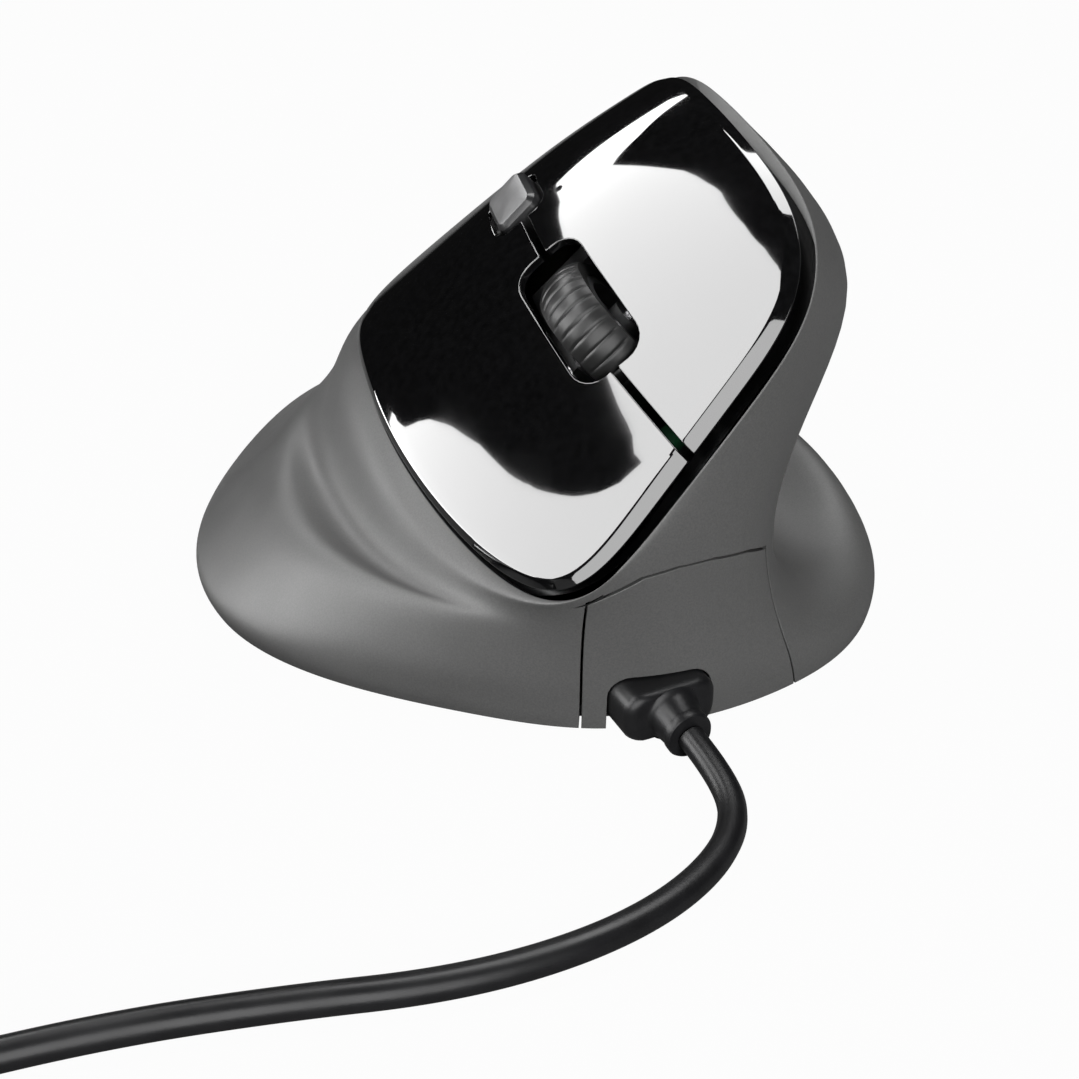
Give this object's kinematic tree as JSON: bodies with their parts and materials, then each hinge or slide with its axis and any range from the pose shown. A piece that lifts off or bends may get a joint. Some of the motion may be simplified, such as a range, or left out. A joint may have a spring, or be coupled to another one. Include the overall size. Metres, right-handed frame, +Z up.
{
  "type": "computer mouse",
  "caption": "Upright right-handed computer mouse: tilted gloss click keys, scroll wheel, thumb keys, palm shell with finger grooves, and a cord coiled to its plug.",
  "frame": {"origin": "on the surface the mouse stands on, under the middle of the mouse's own box, leaving out the free cord", "axes": "+X towards the thumb side, -Y towards the front where the cord leaves, +Z up"},
  "size_m": [0.1909, 0.1457, 0.0711],
  "materials": {
    "soft_touch": "fine-grained soft-touch matte coat",
    "gloss_black": "mirror gloss",
    "satin_grey": "satin",
    "thumb_keys": "gloss",
    "wheel_rubber": "satin rubber with fine cross lines",
    "black_plastic": "moulded matte",
    "steel": "bright",
    "glide": "smooth low-friction sheet",
    "circuit_board": "lacquered board",
    "chip_black": "moulded matte",
    "switch_case": "moulded satin",
    "clear_lens": "clear moulded lens",
    "connector_white": "moulded satin",
    "ribbon_grey": "flexible film",
    "cord_black": "soft satin sheath",
    "plug_steel": "bright plated",
    "plug_tongue": "moulded satin"
  },
  "bodies": {
    "casing": {"upper_shell": "soft_touch", "front_panel": "soft_touch", "base_plate": "black_plastic", "glide_feet": "glide", "base_screws": "steel", "button_board": "circuit_board", "left_switch": "switch_case", "right_switch": "switch_case", "middle_switch": "switch_case", "dpi_switch": "switch_case", "wheel_encoder": "switch_case", "board_stand": "black_plastic", "side_board": "circuit_board", "forward_switch": "switch_case", "back_switch": "switch_case", "main_board": "circuit_board", "board_screws": "steel", "optical_sensor": "chip_black", "sensor_lens": "clear_lens", "controller_chip": "chip_black", "cord_connector": "connector_white", "ribbon_cable": "ribbon_grey", "strain_relief": "cord_black", "wire_lead": "cord_black", "cord": "cord_black", "cord_coil": "cord_black", "cord_tie": "cord_black", "cord_tail": "cord_black", "plug_grip": "cord_black", "plug_shell": "plug_steel", "plug_contacts": "plug_tongue"},
    "left_key": {"left_button": "gloss_black"},
    "right_key": {"right_button": "gloss_black"},
    "dpi_key": {"dpi_button": "satin_grey"},
    "cradle": {"wheel_cradle": "black_plastic"},
    "wheel": {"wheel_tyre": "wheel_rubber", "wheel_hub": "black_plastic", "wheel_axle": "steel"},
    "forward_key": {"forward_button": "thumb_keys"},
    "back_key": {"back_button": "thumb_keys"}
  },
  "joints": [
    {"name": "left_click", "type": "hinge", "parent": "casing", "child": "left_key", "pos_m": [-0.00065, 0.0111, 0.0475], "axis": [0.6613, 0, 0.7501], "range_deg": [0, 1], "stiffness_Nm_per_rad": 1.5},
    {"name": "right_click", "type": "hinge", "parent": "casing", "child": "right_key", "pos_m": [-0.00065, 0.0111, 0.0475], "axis": [0.6613, 0, 0.7501], "range_deg": [0, 1], "stiffness_Nm_per_rad": 1.5},
    {"name": "dpi_press", "type": "slide", "parent": "casing", "child": "dpi_key", "axis": [0.7501, 0, -0.6613], "range_m": [0, 0.0005], "stiffness_N_per_m": 2000},
    {"name": "wheel_press", "type": "slide", "parent": "casing", "child": "cradle", "axis": [0.7501, 0, -0.6613], "range_m": [0, 0.0006], "stiffness_N_per_m": 1500},
    {"name": "wheel_spin", "type": "hinge", "parent": "cradle", "child": "wheel", "pos_m": [0.00312, -0.02752, 0.04366], "axis": [0.6369, -0.2689, 0.7225], "continuous": true},
    {"name": "forward_press", "type": "slide", "parent": "casing", "child": "forward_key", "axis": [-1, 0, 0], "range_m": [0, 0.0006], "stiffness_N_per_m": 1500},
    {"name": "back_press", "type": "slide", "parent": "casing", "child": "back_key", "axis": [-1, 0, 0], "range_m": [0, 0.0006], "stiffness_N_per_m": 1500}
  ]
}
